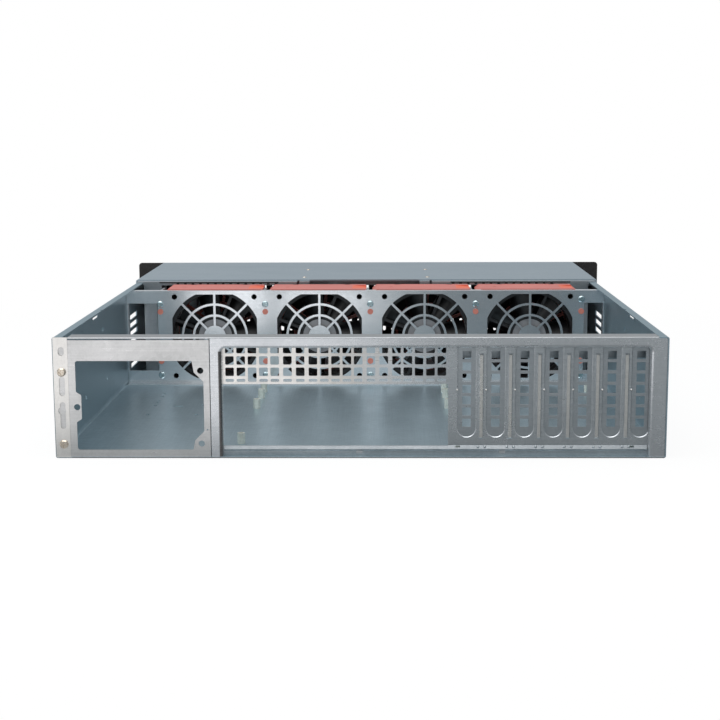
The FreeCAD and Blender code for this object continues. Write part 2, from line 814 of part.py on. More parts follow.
# ---------------------------------------------------------------- slot covers and their rail
def slot_cover(x):
    """Perforated blank: flat blade behind the panel, ear turned inward, tongue at the bottom."""
    y = panel_back
    half = cover_width / 2
    tongue = cover_tongue_width / 2
    taper = half - tongue
    shoulder = cover_bottom + cover_tongue_length
    outline = rounded_outline([
        (x - tongue, cover_bottom, cover_corner), (x + tongue, cover_bottom, cover_corner),
        (x + tongue, shoulder - taper, 0), (x + half, shoulder, 0),
        (x + half, ear_top, 0), (x - half, ear_top, 0),
        (x - half, shoulder, 0), (x - tongue, shoulder - taper, 0)], y)
    holes = []
    reach = cover_hole_width / 2
    for row in range(cover_hole_rows):
        low = cover_first_hole + cover_hole_pitch * row
        holes.append(rectangle(x - reach, x + reach, low, low + cover_hole_height, 0, y))
    blade = panel(outline, holes, cover_sheet)
    ear = box(x - half, x + half, y, y + cover_sheet + cover_ear, ear_top - cover_sheet, ear_top)
    screw = Part.makeCylinder(screw_radius + screw_slip, 4 * sheet, V(x, slot_screw_y(), ear_top - 2 * sheet))
    return join([blade, ear]).cut(screw)


def slot_screw_y():
    return panel_back + cover_sheet + cover_ear / 2


def slot_rail():
    """Angle that the covers' ears rest on, carried by a tab at each end of the slot field."""
    ends = slot_centres()
    left = ends[0] - cover_width / 2 - rail_overhang
    right = frame_right
    top = ear_top - cover_sheet
    near = panel_back + cover_sheet + rail_gap
    far = near + rail_depth - sheet / 2
    path = [(near, top - sheet / 2), (far, top - sheet / 2), (far, top - rail_height)]
    angle = folded_sheet(path, "yz", left, right - left)
    tabs = [box(x, x + sheet, panel_back, far - sheet / 2, top - rail_height, top - sheet)
            for x in (left, right - sheet)]
    rail = join([angle] + tabs)
    holes = [Part.makeCylinder(screw_radius, 4 * sheet, V(x, slot_screw_y(), top - 3 * sheet)) for x in ends]
    return cut_all(rail, holes)


def slot_cover_screws():
    return [pan_screw((x, slot_screw_y(), ear_top), (0, 0, -1), small_screw_head, cover_screw_length)
            for x in slot_centres()]


# ---------------------------------------------------------------- power-supply plate
def psu_plate():
    """Plate over the power-supply bay: wide opening with a tab on one side and gussets on the other."""
    left = plate_left + psu_left_margin
    right = plate_right - psu_right_margin
    bottom = sheet + psu_bottom_margin
    top = lip_under - psu_top_margin
    gusset = right - psu_gusset_width
    lower = bottom + psu_lower_gusset_rise
    upper = top - psu_upper_gusset_drop
    tab_top = psu_tab_bottom + psu_tab_height
    tab = left + psu_tab_width
    opening = [
        (left, bottom, psu_corner),
        (gusset - psu_gusset_lean, bottom, psu_soft_corner),
        (gusset, lower, psu_soft_corner),
        (right, lower + psu_gusset_slope, psu_soft_corner),
        (right, upper - psu_gusset_slope, psu_soft_corner),
        (gusset, upper, psu_soft_corner),
        (gusset - psu_gusset_lean, top, psu_soft_corner),
        (left, top, psu_corner),
        (left, tab_top + psu_tab_lean, psu_corner),
        (tab, tab_top - psu_tab_lean, psu_corner),
        (tab, psu_tab_bottom + psu_tab_lean, psu_corner),
        (left, psu_tab_bottom - psu_tab_lean, psu_corner),
    ]
    holes = [rounded_outline(opening, rear)]
    for x, z in ((right - psu_upper_hole[0], upper + psu_upper_hole[1]),
                 (right - psu_lower_hole[0], lower - psu_lower_hole[1]),
                 (left + psu_tab_hole, psu_tab_bottom + psu_tab_height / 2)):
        holes.append(disc(x, z, psu_hole_radius, rear))
    holes.append(disc(plate_right - psu_pin_at[0], psu_pin_at[1], psu_pin_radius, rear))
    plate_top = lip_under - psu_top_gap
    outline = rectangle(plate_left, plate_right, sheet, plate_top, 0, rear)
    plate = panel(outline, holes, sheet)
    fold = box(plate_right - sheet, plate_right, rear, rear + psu_fold, sheet, plate_top)
    behind = rear + sheet
    hidden_tab = box(-inner_half + seam, plate_left + sheet, behind, behind + sheet,
                     3 * sheet, plate_top - sheet)
    bores = [Part.makeCylinder(screw_radius, 4 * sheet, V(*place), V(*axis))
             for place, axis in psu_screw_places()]
    return cut_all(join([plate, fold, hidden_tab]), bores)


def psu_plate_screws():
    return [pan_screw(place, axis) for place, axis in psu_screw_places()]


# ---------------------------------------------------------------- standoffs
def standoff_places():
    edge_x = io_left + board_beside_io
    edge_y = panel_back + board_to_io_panel
    places = []
    for number, column in enumerate(board_columns):
        first = board_first_row_edge if number == 0 else board_first_row
        rows = [first] + [r for r in board_rows if number < 2 or r != board_rows[1]]
        for row in rows:
            places.append((edge_x + board_hole_from_edge + column, edge_y + row))
    return places


def motherboard_standoffs():
    corner = standoff_flats / math.sqrt(3)
    solids = []
    for x, y in standoff_places():
        hexagon = closed_wire([(x + corner * math.cos(math.radians(60 * k)),
                                y + corner * math.sin(math.radians(60 * k)), sheet) for k in range(6)])
        post = Part.Face(hexagon).extrude(V(0, 0, standoff_height))
        bore = Part.makeCylinder(standoff_bore, standoff_height, V(x, y, sheet + standoff_web))
        solids.append(post.cut(bore))
    return solids


# ---------------------------------------------------------------- fan wall
def ring(x, z, mean, width, y, thickness):
    return panel(disc(x, z, mean + width / 2, y), [disc(x, z, mean - width / 2, y)], thickness)


def guard_window(x, z):
    """What is stamped out of the wall in front of one fan, leaving rings, spokes and hub."""
    y = wall_front - sheet
    depth = 3 * sheet
    half = guard_square / 2
    opening = box(x - half, x + half, y, y + depth, z - half, z + half)
    opening = opening.common(Part.makeCylinder(guard_circle, depth, V(x, y, z), V(0, 1, 0)))
    bars = [ring(x, z, radius, guard_bar, y, depth) for radius in (guard_ring_outer, guard_ring_inner)]
    bars.append(Part.makeCylinder(guard_hub, depth, V(x, y, z), V(0, 1, 0)))
    for k in range(guard_spokes // 2):
        spoke = box(-guard_circle, guard_circle, y, y + depth, -guard_bar / 2, guard_bar / 2)
        spoke.rotate(V(0, 0, 0), V(0, 1, 0), 360 / guard_spokes * k)
        spoke.translate(V(x, 0, z))
        bars.append(spoke)
    return opening.cut(Part.makeCompound(bars))


def fan_hole_offsets():
    half = fan_hole_pitch / 2
    return [(sx * half, sz * half) for sx in (-1, 1) for sz in (-1, 1)]


def fan_wall():
    left = -inner_half + seam
    right = inner_half - seam
    top = lip_under
    left_opening = fan_centres[0] - guard_square / 2 - left_end_web
    right_opening = fan_centres[-1] + guard_square / 2 + right_end_web
    holes = []
    holes.append(rectangle(left + sheet, left_opening, arm_bottom, top - arm_top, 0, wall_front))
    holes.append(rectangle(right_opening, right - sheet, arm_bottom, top - arm_top, 0, wall_front))
    for x in fan_centres:
        for dx, dz in fan_hole_offsets():
            holes.append(disc(x + dx, fan_height + dz, fan_hole_radius, wall_front))
    for x, z in web_screw_places():
        holes.append(disc(x, z, screw_radius, wall_front))
    for x, z in web_peg_places():
        holes.append(disc(x, z, peg_radius, wall_front))
    plate = panel(upright_outline(left, right, top, wall_front), holes, sheet)
    plate = cut_all(plate, [guard_window(x, fan_height) for x in fan_centres])
    near = left + fold_relief
    far = right - fold_relief
    top_flange = box(near, far, wall_front, wall_back + wall_flange, top - sheet, top)
    foot = box(near, far, wall_front - wall_foot, wall_back, sheet, 2 * sheet)
    low = sheet + fold_relief
    high = top - fold_relief
    ends = [box(left, left + sheet, wall_front, wall_back + wall_flange, low, high),
            box(right - sheet, right, wall_front, wall_back + wall_flange, low, high)]
    return join([plate, top_flange, foot] + ends)


def web_screw_places():
    places = []
    for x in web_fixings:
        rise = end_screw_rise if x == web_fixings[-1] else 0
        places += [(x, fan_height + web_screw_high + rise), (x, fan_height - web_screw_low)]
    return places


def web_peg_places():
    return [(x, fan_height + dz) for x in web_fixings for dz in (web_peg_offset, -web_peg_offset)]


def fan_wall_screws():
    return [pan_screw((x, wall_front, z), (0, 1, 0), small_screw_head, 3 * sheet)
            for x, z in web_screw_places()]


def guide_pegs():
    """Plastic push pegs that locate the carrier guides in the wall."""
    pegs = []
    for x, z in web_peg_places():
        head = Part.makeCylinder(peg_head, peg_height, V(x, wall_front - peg_height, z), V(0, 1, 0))
        stem = Part.makeCylinder(peg_radius, 2 * sheet, V(x, wall_front, z), V(0, 1, 0))
        pegs.append(head.fuse(stem).removeSplitter())
    return pegs


# ---------------------------------------------------------------- guides between the carriers
def carrier_guide(x):
    """Angle behind the wall: flange for the fixings, web between two carriers, tab on top."""
    web_x = x - guide_web_offset
    high = lip_under - 2 * sheet
    low = 2 * sheet
    path = [(web_x - sheet / 2 + guide_flange, wall_back + sheet / 2), (web_x, wall_back + sheet / 2),
            (web_x, wall_back + guide_reach)]
    angle = folded_sheet(path, "xy", low, high - low)
    tab = box(web_x - sheet / 2, web_x - sheet / 2 + guide_tab, wall_back + 2 * sheet + wall_flange,
              wall_back + guide_reach, high - sheet, high)
    guide = join([angle, tab])
    fixings = [(screw_radius, z) for place, z in web_screw_places() if place == x]
    fixings += [(peg_radius, z) for place, z in web_peg_places() if place == x]
    bores = [Part.makeCylinder(radius, 4 * sheet, V(x, wall_front, z), V(0, 1, 0)) for radius, z in fixings]
    return cut_all(guide, bores)


# ---------------------------------------------------------------- fan carriers
def fan_carrier(x):
    """Plastic shell round one fan, with a barred grille at the back and a shaped top."""
    left = x - carrier_left
    right = x + carrier_right
    back = carrier_rear + carrier_depth
    outline = rounded_outline([
        (left, carrier_bottom, carrier_corner), (right, carrier_bottom, carrier_corner),
        (right, carrier_top, carrier_corner), (left + carrier_shoulder, carrier_top, carrier_corner),
        (left, carrier_top - carrier_shoulder_drop, carrier_corner)], carrier_rear)
    fan_half = fan_size / 2 + fan_slip
    cavity = rectangle(x - fan_half, x + fan_half, fan_height - fan_half, fan_height + fan_half,
                       carrier_corner, carrier_rear)
    shell = panel(outline, [cavity], carrier_depth)
    carrier = join([shell, fan_grille(x)])
    top = carrier_top
    cuts = [box(left - 1, right + 1, carrier_rear - 1, wall_back + wall_flange + flange_slip,
                lip_under - sheet - flange_slip, top + 1)]
    for side in (-1, 1):
        notch = x + side * carrier_notch_spread
        cuts.append(box(notch - carrier_notch_width / 2, notch + carrier_notch_width / 2,
                        back - carrier_notch_depth, back + 1, fan_height + fan_half + fan_slip, top + 1))
    mark_x = x + carrier_mark_at[0]
    mark_y = carrier_rear + carrier_mark_at[1]
    cuts.append(box(mark_x - carrier_mark_length / 2, mark_x + carrier_mark_length / 2,
                    mark_y - carrier_mark_width / 2, mark_y + carrier_mark_width / 2,
                    top - carrier_mark_depth, top + 1))
    near = carrier_rear + grip_from
    grip = right - grip_length
    floor = top - grip_depth
    scoop = Part.Face(closed_wire([(grip, near, top), (right - carrier_corner, near, floor),
                                   (right + 1, near, floor), (right + 1, near, top + 1), (grip, near, top + 1)]))
    cuts.append(scoop.extrude(V(0, grip_to - grip_from, 0)))
    return cut_all(carrier, cuts)


def fan_grille(x):
    """Guard moulded into the back of a carrier: rings and radial bars in a square frame."""
    y = fan_rear + fan_depth
    half = fan_size / 2 + fan_slip + carrier_corner
    outer = grille_rings[0] + grille_bar
    thick = grille_thickness
    wide = grille_bar / 2
    outline = rectangle(x - half, x + half, fan_height - half, fan_height + half, carrier_corner, y)
    pieces = [panel(outline, [disc(x, fan_height, outer, y)], thick)]
    pieces += [ring(x, fan_height, radius, grille_bar, y, thick) for radius in grille_rings[1:]]
    for k in range(grille_bars):
        bar = box(grille_rings[-1], outer + wide, y, y + thick, -wide, wide)
        bar.rotate(V(0, 0, 0), V(0, 1, 0), 360 / grille_bars * k + grille_turn)
        bar.translate(V(x, 0, fan_height))
        pieces.append(bar)
    return join(pieces)


# ---------------------------------------------------------------- fans
def fan_frame(x):
    """Square flanges on a round duct, motor plate and stator on four struts, shaft bore."""
    half = fan_size / 2
    y = fan_rear
    z = fan_height
    holes = [disc(x, z, fan_duct_radius, y)]
    holes += [disc(x + dx, z + dz, fan_bolt_radius, y) for dx, dz in fan_hole_offsets()]
    flange = panel(rectangle(x - half, x + half, z - half, z + half, fan_corner, y), holes, fan_flange)
    far = flange.copy()
    far.translate(V(0, fan_depth - fan_flange, 0))
    duct = ring(x, z, fan_duct_radius + fan_duct_wall / 2, fan_duct_wall, y, fan_depth)
    motor = Part.makeCylinder(fan_motor_radius, fan_motor_plate, V(x, y, z), V(0, 1, 0))
    stator = Part.makeCylinder(stator_radius, stator_length, V(x, y, z), V(0, 1, 0))
    pieces = [flange, far, duct, motor, stator]
    for k in range(fan_strut_count):
        strut = box(stator_radius, fan_duct_radius + fan_duct_wall / 2, y, y + fan_motor_plate,
                    -fan_strut_width / 2, fan_strut_width / 2)
        strut.rotate(V(0, 0, 0), V(0, 1, 0), 360 / fan_strut_count * k + fan_strut_turn)
        strut.translate(V(x, 0, z))
        pieces.append(strut)
    bore = Part.makeCylinder(shaft_radius + shaft_play, stator_length, V(x, y + bore_floor, z), V(0, 1, 0))
    return join(pieces).cut(bore)


def fan_blade():
    """One blade about the Y axis, pointing along +X: twisted plate between root and tip."""
    def section(radius, chord, angle):
        lean = math.radians(angle)
        across = V(0, math.cos(lean), math.sin(lean))
        bow = V(0, -math.sin(lean), math.cos(lean))
        base = V(radius, 0, 0)
        ends = [base - across * (chord / 2), base + across * (chord / 2)]
        low = base + bow * blade_bow
        high = base + bow * (blade_bow + blade_thickness)
        thin = bow * (blade_thickness / 2)
        return Part.Wire([
            Part.Arc(ends[0], low, ends[1]).toShape(),
            Part.LineSegment(ends[1], ends[1] + thin).toShape(),
            Part.Arc(ends[1] + thin, high, ends[0] + thin).toShape(),
            Part.LineSegment(ends[0] + thin, ends[0]).toShape(),
        ])

    root = section(rotor_cup_radius - blade_sink, blade_root_chord, blade_root_angle)
    tip = section(fan_duct_radius, blade_tip_chord, blade_tip_angle)
    blade = Part.makeLoft([root, tip], True, True)
    reach = fan_depth
    sweep = Part.makeCylinder(fan_duct_radius - blade_tip_gap, 2 * reach, V(0, -reach, 0), V(0, 1, 0))
    core = Part.makeCylinder(rotor_cup_radius - blade_sink / 2, 2 * reach, V(0, -reach, 0), V(0, 1, 0))
    return blade.common(sweep).cut(core)


def fan_rotor(x):
    """Cup over the stator with its shaft, and the blades round it."""
    start = fan_rear + fan_motor_plate + rotor_gap
    end = start + rotor_length
    inner = rotor_cup_radius - rotor_cup_wall
    closed = end - rotor_cup_wall
    shaft = fan_rear + shaft_end
    profile = closed_wire([
        (0, end, 0), (rotor_cup_radius - rotor_cup_round, end, 0),
        (rotor_cup_radius, end - rotor_cup_round, 0),
        (rotor_cup_radius, start, 0), (inner, start, 0), (inner, closed - rotor_cup_wall, 0),
        (shaft_radius, closed - rotor_cup_wall, 0), (shaft_radius, shaft, 0), (0, shaft, 0)])
    cup = Part.Face(profile).revolve(V(0, 0, 0), V(0, 1, 0), 360)
    blade = fan_blade()
    blade.translate(V(0, start + rotor_length / 2, 0))
    blades = []
    for k in range(blade_count):
        turned = blade.copy()
        turned.rotate(V(0, 0, 0), V(0, 1, 0), 360 / blade_count * k)
        blades.append(turned)
    rotor = join([cup] + blades)
    rotor.translate(V(x, 0, fan_height))
    return rotor


# ---------------------------------------------------------------- bulkhead, cover and braces
def ledge_spans():
    """The two lid ledges across the case: (outer end, inner end, direction inward)."""
    wide = inner_half - seam
    return [(-wide, -ledge_left_gap, 1), (wide, ledge_right_gap, -1)]


def drive_bulkhead():
    """Upright behind the fans, with the ledge that the lid rests on and the ledge's two legs."""
    left = -inner_half + bulkhead_end_gap
    right = inner_half - bulkhead_end_gap
    opening = rectangle(left + bulkhead_column, right - bulkhead_column, sheet + bulkhead_sill,
                        lip_under - bulkhead_head, bulkhead_corner, bulkhead)
    pieces = [panel(rectangle(left, right, sheet, cover_under, 0, bulkhead), [opening], sheet)]
    ledge_rear = rear + ledge_at
    ledge_front = rear + cover_at + ledge_under_cover
    wide = inner_half - seam
    pieces.append(box(-wide, wide, ledge_front - sheet, bulkhead + sheet, lip_top, cover_under))
    for outer, inner, inward in ledge_spans():
        pieces.append(span_box(outer, inner, ledge_rear, ledge_front, lip_top, cover_under))
        lip_end = -inward * (half_width - lip_width - seam)
        lip_back = ledge_rear + sheet
        pieces.append(span_box(lip_end, inner, ledge_rear, lip_back, cover_under - ledge_lip, lip_top))
        leg = -inward * (inner_half - ledge_leg_gap)
        leg_end = leg + inward * ledge_leg
        pieces.append(span_box(leg, leg_end, ledge_rear, lip_back, sheet, lip_under))
        pieces.append(span_box(leg, leg_end, ledge_rear, ledge_rear + ledge_leg_foot, sheet, 2 * sheet))
        near = inner + inward * tongue_gap
        far = near + inward * tongue_width
        tongue_rear = ledge_rear + 2 * sheet
        pieces.append(span_box(near, far, tongue_rear, ledge_front, lip_top, cover_under))
        pieces.append(span_box(near, far, tongue_rear, tongue_rear + sheet, lip_top - tongue_drop, lip_top))
    return join(pieces)


def lid_seal(side):
    """Toothed rubber strip on the rear edge of one ledge."""
    outer, inner, inward = ledge_spans()[side]
    start = inner - inward * seal_inset
    end = start - inward * seal_length
    back = rear + ledge_at
    front_face = back - seal_thickness
    top = cover_under
    pieces = [span_box(start, end, front_face, back, top - seal_band, top)]
    for k in range(seal_teeth):
        tooth = start - inward * (seal_end + seal_pitch * k)
        pieces.append(span_box(tooth, tooth - inward * seal_tooth, front_face, back,
                               top - seal_band - seal_tooth_length, top))
    return join(pieces)


def front_cover():
    """Fixed top plate over the front section, turned down outside the walls and hemmed."""
    outer = half_width + cover_side_gap + sheet
    middle = sheet / 2
    section = [
        (-outer + middle, cover_top - cover_side),
        (-outer + middle, cover_top - middle),
        (outer - middle, cover_top - middle),
        (outer - middle, cover_top - cover_side),
    ]
    cover = folded_sheet(section, "xz", rear + cover_at, tray_depth - cover_at)
    return cover


def cover_brace(side):
    """Channel under the cover from the bulkhead to the rack panel."""
    x = side * brace_at
    middle = sheet / 2
    low = cover_under - brace_depth
    high = cover_under - middle
    half = brace_width / 2
    section = [(x - half, low), (x - half, high), (x + half, high), (x + half, low)]
    return folded_sheet(section, "xz", bulkhead + sheet, front - brace_front_gap - bulkhead - sheet)


def cover_rivets():
    rivets = []
    for side in (-1, 1):
        for along in (rivet_first, rivet_second):
            place = V(side * brace_at, rear + along, cover_top)
            head = Part.makeCone(rivet_radius, rivet_radius * 0.7, rivet_height, place)
            rivets.append(head)
    return rivets


# ---------------------------------------------------------------- rack panel and controls
def side_screw(place, axis):
    """Countersunk screw through a side wall into the rack panel's return."""
    head = Part.makeCone(side_screw_head, screw_radius, side_screw_sink, V(*place), V(*axis))
    shank = Part.makeCylinder(screw_radius, 3 * sheet, V(*place), V(*axis))
    return head.fuse(shank).removeSplitter()


def rack_screw_places():
    """Countersunk side screws that hold the rack panel's returns: (place, inward axis)."""
    places = []
    for side in (-1, 1):
        for height in side_screw_heights:
            places.append(((side * half_width, front - panel_return / 2, height), (-side, 0, 0)))
    return places


def front_panel():
    low = panel_base
    high = panel_base + panel_height
    half = panel_width / 2
    holes = []
    middle_z = (low + high) / 2
    for side in (-1, 1):
        for row in (-1, 1):
            x = side * rack_hole_spacing / 2
            z = middle_z + row * rack_hole_pitch / 2
            holes.append(stadium(x - rack_slot_width / 2, x + rack_slot_width / 2,
                                 z - rack_slot_height / 2, z + rack_slot_height / 2, front))
    first_column = front_slots_shift - ((front_slot_columns - 1) * front_slot_pitch + front_slot_width) / 2
    for row in range(front_slot_rows):
        row_pitch = front_slot_height + front_slot_row_gap
        z0 = middle_z + (row - front_slot_rows / 2) * row_pitch + front_slot_row_gap / 2
        for column in range(front_slot_columns):
            x0 = first_column + column * front_slot_pitch
            holes.append(stadium(x0, x0 + front_slot_width, z0, z0 + front_slot_height, front))
    holes.append(disc(control_x, power_height, power_radius + button_gap, front))
    holes.append(disc(control_x, reset_height, reset_radius + button_gap, front))
    holes += [disc(control_x, z, lamp_radius, front) for z in lamp_heights]
    plate = panel(rectangle(-half, half, low, high, panel_corner, front), holes, panel_sheet)
    returns = []
    for side in (-1, 1):
        returns.append(span_box(side * (inner_half - sheet), side * inner_half, front - panel_return, front,
                                2 * sheet, lip_under - sheet))
    bores = [side_screw(place, axis) for place, axis in rack_screw_places()]
    return cut_all(join([plate] + returns), bores)


def front_panel_screws():
    return [side_screw(place, axis) for place, axis in rack_screw_places()]


def button(radius, height):
    """Push button: cap through the panel, collar behind it, stem into the bracket."""
    seat = front - button_gap
    collar_at = seat - button_collar
    cap_length = panel_sheet + button_proud + button_gap
    stages = ((radius, cap_length, seat), (radius + button_flange, button_collar, collar_at),
              (button_stem_radius, button_stem, collar_at - button_stem))
    return join([Part.makeCylinder(size, length, V(control_x, start, height), V(0, 1, 0))
                 for size, length, start in stages])


def indicator_lamps():
    start = front - bracket_depth
    return [Part.makeCylinder(lamp_radius, bracket_depth + panel_sheet, V(control_x, start, z), V(0, 1, 0))
            for z in lamp_heights]


def control_bracket():
    """Folded bracket behind the rack panel that carries the switches and lamps."""
    left = control_x - bracket_width / 2
    right = control_x + bracket_width / 2
    seat = front - sheet / 2
    path = [(left - bracket_foot, seat), (left, seat), (left, seat - bracket_depth),
            (right, seat - bracket_depth), (right, seat), (right + bracket_foot, seat)]
    bracket = folded_sheet(path, "xy", bracket_bottom, bracket_top - bracket_bottom)
    start = front - bracket_depth - 2 * sheet
    bore = button_stem_radius + button_gap
    guides = [Part.makeCylinder(bore, 4 * sheet, V(control_x, start, z), V(0, 1, 0))
              for z in (power_height, reset_height)]
    return cut_all(bracket, guides)


# ---------------------------------------------------------------- write the parts
def write(name, solids):
    shape = Part.makeCompound(solids) if isinstance(solids, list) else solids
    shape.exportStep(os.path.join("parts", name + ".step"))


def main():
    os.makedirs("parts", exist_ok=True)
    write("base_tray", base_tray())
    write("rear_frame", rear_frame())
    write("io_slot_panel", io_slot_panel())
    for number, x in enumerate(slot_centres(), 1):
        write("slot_cover_%d" % number, slot_cover(x))
    write("slot_rail", slot_rail())
    write("slot_cover_screws", slot_cover_screws())
    write("psu_plate", psu_plate())
    write("psu_plate_screws", psu_plate_screws())
    write("motherboard_standoffs", motherboard_standoffs())
    write("fan_wall", fan_wall())
    write("fan_wall_screws", fan_wall_screws())
    write("guide_pegs", guide_pegs())
    for number, x in enumerate(web_fixings, 1):
        write("carrier_guide_%d" % number, carrier_guide(x))
    for number, x in enumerate(fan_centres, 1):
        write("fan_carrier_%d" % number, fan_carrier(x))
        write("fan_frame_%d" % number, fan_frame(x))
        write("fan_rotor_%d" % number, fan_rotor(x))
    write("drive_bulkhead", drive_bulkhead())
    write("lid_seal_left", lid_seal(0))
    write("lid_seal_right", lid_seal(1))
    write("front_cover", front_cover())
    write("cover_brace_left", cover_brace(-1))
    write("cover_brace_right", cover_brace(1))
    write("cover_rivets", cover_rivets())
    write("front_panel", front_panel())
    write("front_panel_screws", front_panel_screws())
    write("power_button", button(power_radius, power_height))
    write("reset_button", button(reset_radius, reset_height))
    write("indicator_lamps", indicator_lamps())
    write("control_bracket", control_bracket())


main()
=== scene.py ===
# %% [markdown]
# # An empty 2U server case
#
# The case is a folded steel tray seen from the rear, with its lid off. The rear face has a
# power-supply plate, a long window with a vent grid, and seven slot covers. A stamped wall
# across the inside carries four fans in orange carriers, and a fixed cover closes the front
# section. Nearly all of it is sheet metal, and the solids already hold its shape. The lesson is
# therefore mostly about finishes: zinc that looks like zinc, and a studio that lets it.

# %% Load the solids
import math

import bmesh
import bpy
from mathutils import Matrix, Vector


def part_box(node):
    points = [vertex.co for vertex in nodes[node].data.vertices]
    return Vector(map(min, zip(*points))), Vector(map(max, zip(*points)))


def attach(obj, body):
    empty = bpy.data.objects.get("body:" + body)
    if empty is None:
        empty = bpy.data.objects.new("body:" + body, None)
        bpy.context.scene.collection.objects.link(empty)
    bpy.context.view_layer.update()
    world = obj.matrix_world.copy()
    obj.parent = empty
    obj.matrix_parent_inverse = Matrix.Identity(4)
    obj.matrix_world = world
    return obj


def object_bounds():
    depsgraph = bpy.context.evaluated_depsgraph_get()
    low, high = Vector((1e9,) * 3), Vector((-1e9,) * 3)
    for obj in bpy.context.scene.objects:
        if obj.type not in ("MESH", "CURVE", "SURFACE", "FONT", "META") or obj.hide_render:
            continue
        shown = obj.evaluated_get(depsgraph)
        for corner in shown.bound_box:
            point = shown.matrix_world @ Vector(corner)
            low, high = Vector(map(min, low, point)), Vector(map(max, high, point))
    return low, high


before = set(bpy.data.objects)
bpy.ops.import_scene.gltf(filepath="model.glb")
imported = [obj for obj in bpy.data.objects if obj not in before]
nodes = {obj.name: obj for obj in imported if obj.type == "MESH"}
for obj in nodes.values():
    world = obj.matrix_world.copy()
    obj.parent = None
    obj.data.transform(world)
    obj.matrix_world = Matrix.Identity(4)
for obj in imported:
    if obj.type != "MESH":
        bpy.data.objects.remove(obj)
cad_low, cad_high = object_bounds()
scene = bpy.context.scene
print(len(nodes), "solids in", [round(side * 1000, 1) for side in cad_high - cad_low], "mm")

# %% [markdown]
# ## Writing shader maths as Python
#
# A finish is a tree of nodes. Clicking one together is quick for a single material, but this case
# needs twenty-one that share their parts. Wrapping a socket in a small class lets
# `0.4 + 0.1 * grain` add the Math nodes by itself, and the formula stays readable.

# %% Sockets that add up
class Wire:
    """A value that varies over a surface, with arithmetic that adds Math nodes."""

    def __init__(self, owner, socket):
        self.owner = owner
        self.socket = socket

    def _with(self, operation, *values, clamp=False):
        return self.owner.node("Math", {"operation": operation, "use_clamp": clamp}, *values)

    def __add__(self, other):
        return self._with("ADD", self, other)

    def __sub__(self, other):
        return self._with("SUBTRACT", self, other)

    def __rsub__(self, other):
        return self._with("SUBTRACT", other, self)

    def __mul__(self, other):
        return self._with("MULTIPLY", self, other)

    def __pow__(self, other):
        return self._with("POWER", self, other)

    __radd__ = __add__
    __rmul__ = __mul__

    def clamped(self):
        return self._with("ADD", self, 0.0, clamp=True)


# %% [markdown]
# ## One method for every other node
#
# Noise, ramps, bumps and the rest come from one method. It sets the node's own settings first and
# fills or links its sockets after that, because a setting can change what the sockets mean. The
# sky is such a tree as well, so the method sits in a class of its own, and a finish adds the
# surface shader and the few patterns that metal and plastic need.

# %% Trees
class Tree:
    """The nodes of a material or of the sky, added by name."""

    def __init__(self, tree, output):
        self.tree = tree
        self.tree.nodes.clear()
        self.output = self.tree.nodes.new("ShaderNode" + output)

    def node(self, kind, settings, *values, output=0, **named):
        made = self.tree.nodes.new("ShaderNode" + kind)
        for setting, value in settings.items():
            if setting == "stops":
                self._set_stops(made.color_ramp, value)
            else:
                setattr(made, setting, value)
        for socket, value in zip(made.inputs, values):
            self.fill(socket, value)
        for name, value in named.items():
            self.fill(made.inputs[name.replace("_", " ")], value)
        return Wire(self, made.outputs[output])

    def _set_stops(self, ramp, stops):
        while len(ramp.elements) < len(stops):
            ramp.elements.new(1.0)
        for element, (position, colour) in zip(ramp.elements, stops):
            element.position = position
            element.color = (*colour, 1.0)

    def fill(self, socket, value):
        if isinstance(value, Wire):
            self.tree.links.new(value.socket, socket)
        elif socket.type == "RGBA":
            socket.default_value = (*value, 1.0)
        else:
            socket.default_value = value

    def show(self, surface):
        self.tree.links.new(surface.socket, self.output.inputs["Surface"])


# %% Finishes
class Finish(Tree):
    """One material. Its patterns read object coordinates, so they stay put when a fan turns."""

    def __init__(self, name, **constants):
        self.material = bpy.data.materials.new(name)
        self.material.use_nodes = True
        super().__init__(self.material.node_tree, "OutputMaterial")
        self.shader = self.tree.nodes.new("ShaderNodeBsdfPrincipled")
        self.surface = Wire(self, self.shader.outputs["BSDF"])
        self.show(self.surface)
        self.place = self.node("TexCoord", {}, output="Object")
        self.feed(**constants)

    def feed(self, **named):
        """Fills sockets of the surface shader, such as Base_Color or Roughness."""
        for name, value in named.items():
            self.fill(self.shader.inputs[name.replace("_", " ")], value)

    def along(self, axis):
        return self.node("SeparateXYZ", {}, self.place, output=axis)

    def beyond(self, axis, start, soft=0.0002):
        """0 below a coordinate in metres and 1 above it."""
        return self.node("MapRange", {}, self.along(axis), start - soft, start + soft)

    def between(self, axis, start, end):
        return self.beyond(axis, start) * (1.0 - self.beyond(axis, end))

    def noise(self, scale, detail, at=None):
        return self.node("TexNoise", {}, Vector=at or self.place, Scale=scale, Detail=detail,
                         Roughness=0.55)

    def stretched_noise(self, scales, detail):
        """Noise with its own scale along each axis, so that it runs long in one direction."""
        return self.noise(1.0, detail, at=self.node("Mapping", {}, Vector=self.place, Scale=scales))

    def cells(self, scale):
        """A random level for each crystal of a cell pattern."""
        tint = self.node("TexVoronoi", {"feature": "F1"}, Vector=self.place, Scale=scale,
                         output="Color")
        return self.node("SeparateColor", {}, tint)

    def ramp(self, level, *stops):
        return self.node("ValToRGB", {"stops": stops}, level)

    def bump(self, height, strength, distance):
        return self.node("Bump", {}, Height=height, Strength=strength, Distance=distance,
                         output="Normal")


# %% [markdown]
# ## Galvanised sheet
#
# Hot-dipped steel is covered in zinc crystals a few millimetres across, each a slightly different
# grey. Under them run faint lines from the rolling mill, and clouds where the bath was hotter.
# Painting one grey and lowering the roughness gives chrome, not zinc. The finish here adds the
# crystals, lines and clouds to one level, which picks the colour, and reuses it for the
# roughness, so that a pale crystal is also a shinier one.

